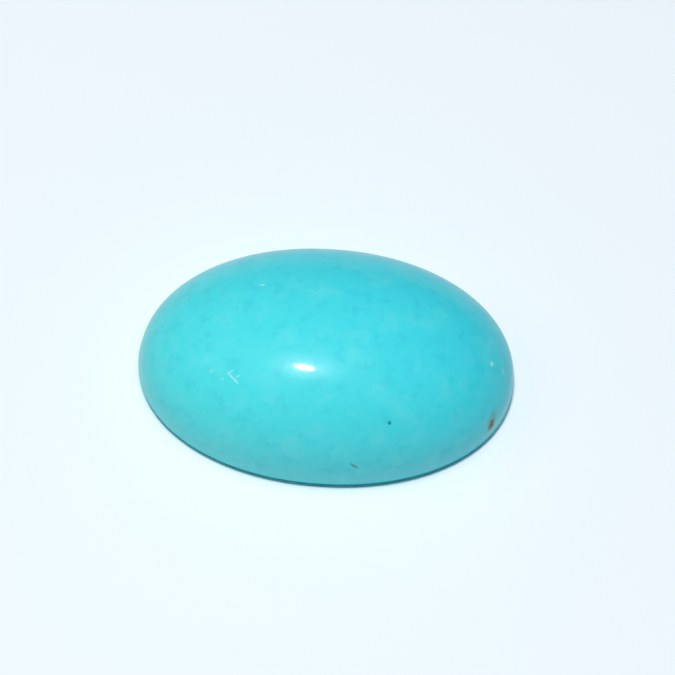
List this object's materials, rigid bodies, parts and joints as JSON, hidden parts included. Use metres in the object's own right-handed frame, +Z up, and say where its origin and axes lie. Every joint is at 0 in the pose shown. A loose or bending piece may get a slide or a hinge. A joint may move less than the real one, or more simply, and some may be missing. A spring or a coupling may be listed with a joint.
{
  "type": "turquoise cabochon",
  "caption": "Polished oval turquoise cabochon: a high, smooth dome over a flat ground back, for setting in a bezel or resting on a table.",
  "frame": {"origin": "the middle of the stone's bounding box at its flat back, on the surface that it rests on", "axes": "+X along the oval's long axis, +Y along its short axis, +Z up from the flat back to the crown of the dome"},
  "size_m": [0.018, 0.0118, 0.0061],
  "materials": {
    "turquoise": "polished"
  },
  "bodies": {
    "root": {"cabochon": "turquoise"}
  },
  "joints": []
}
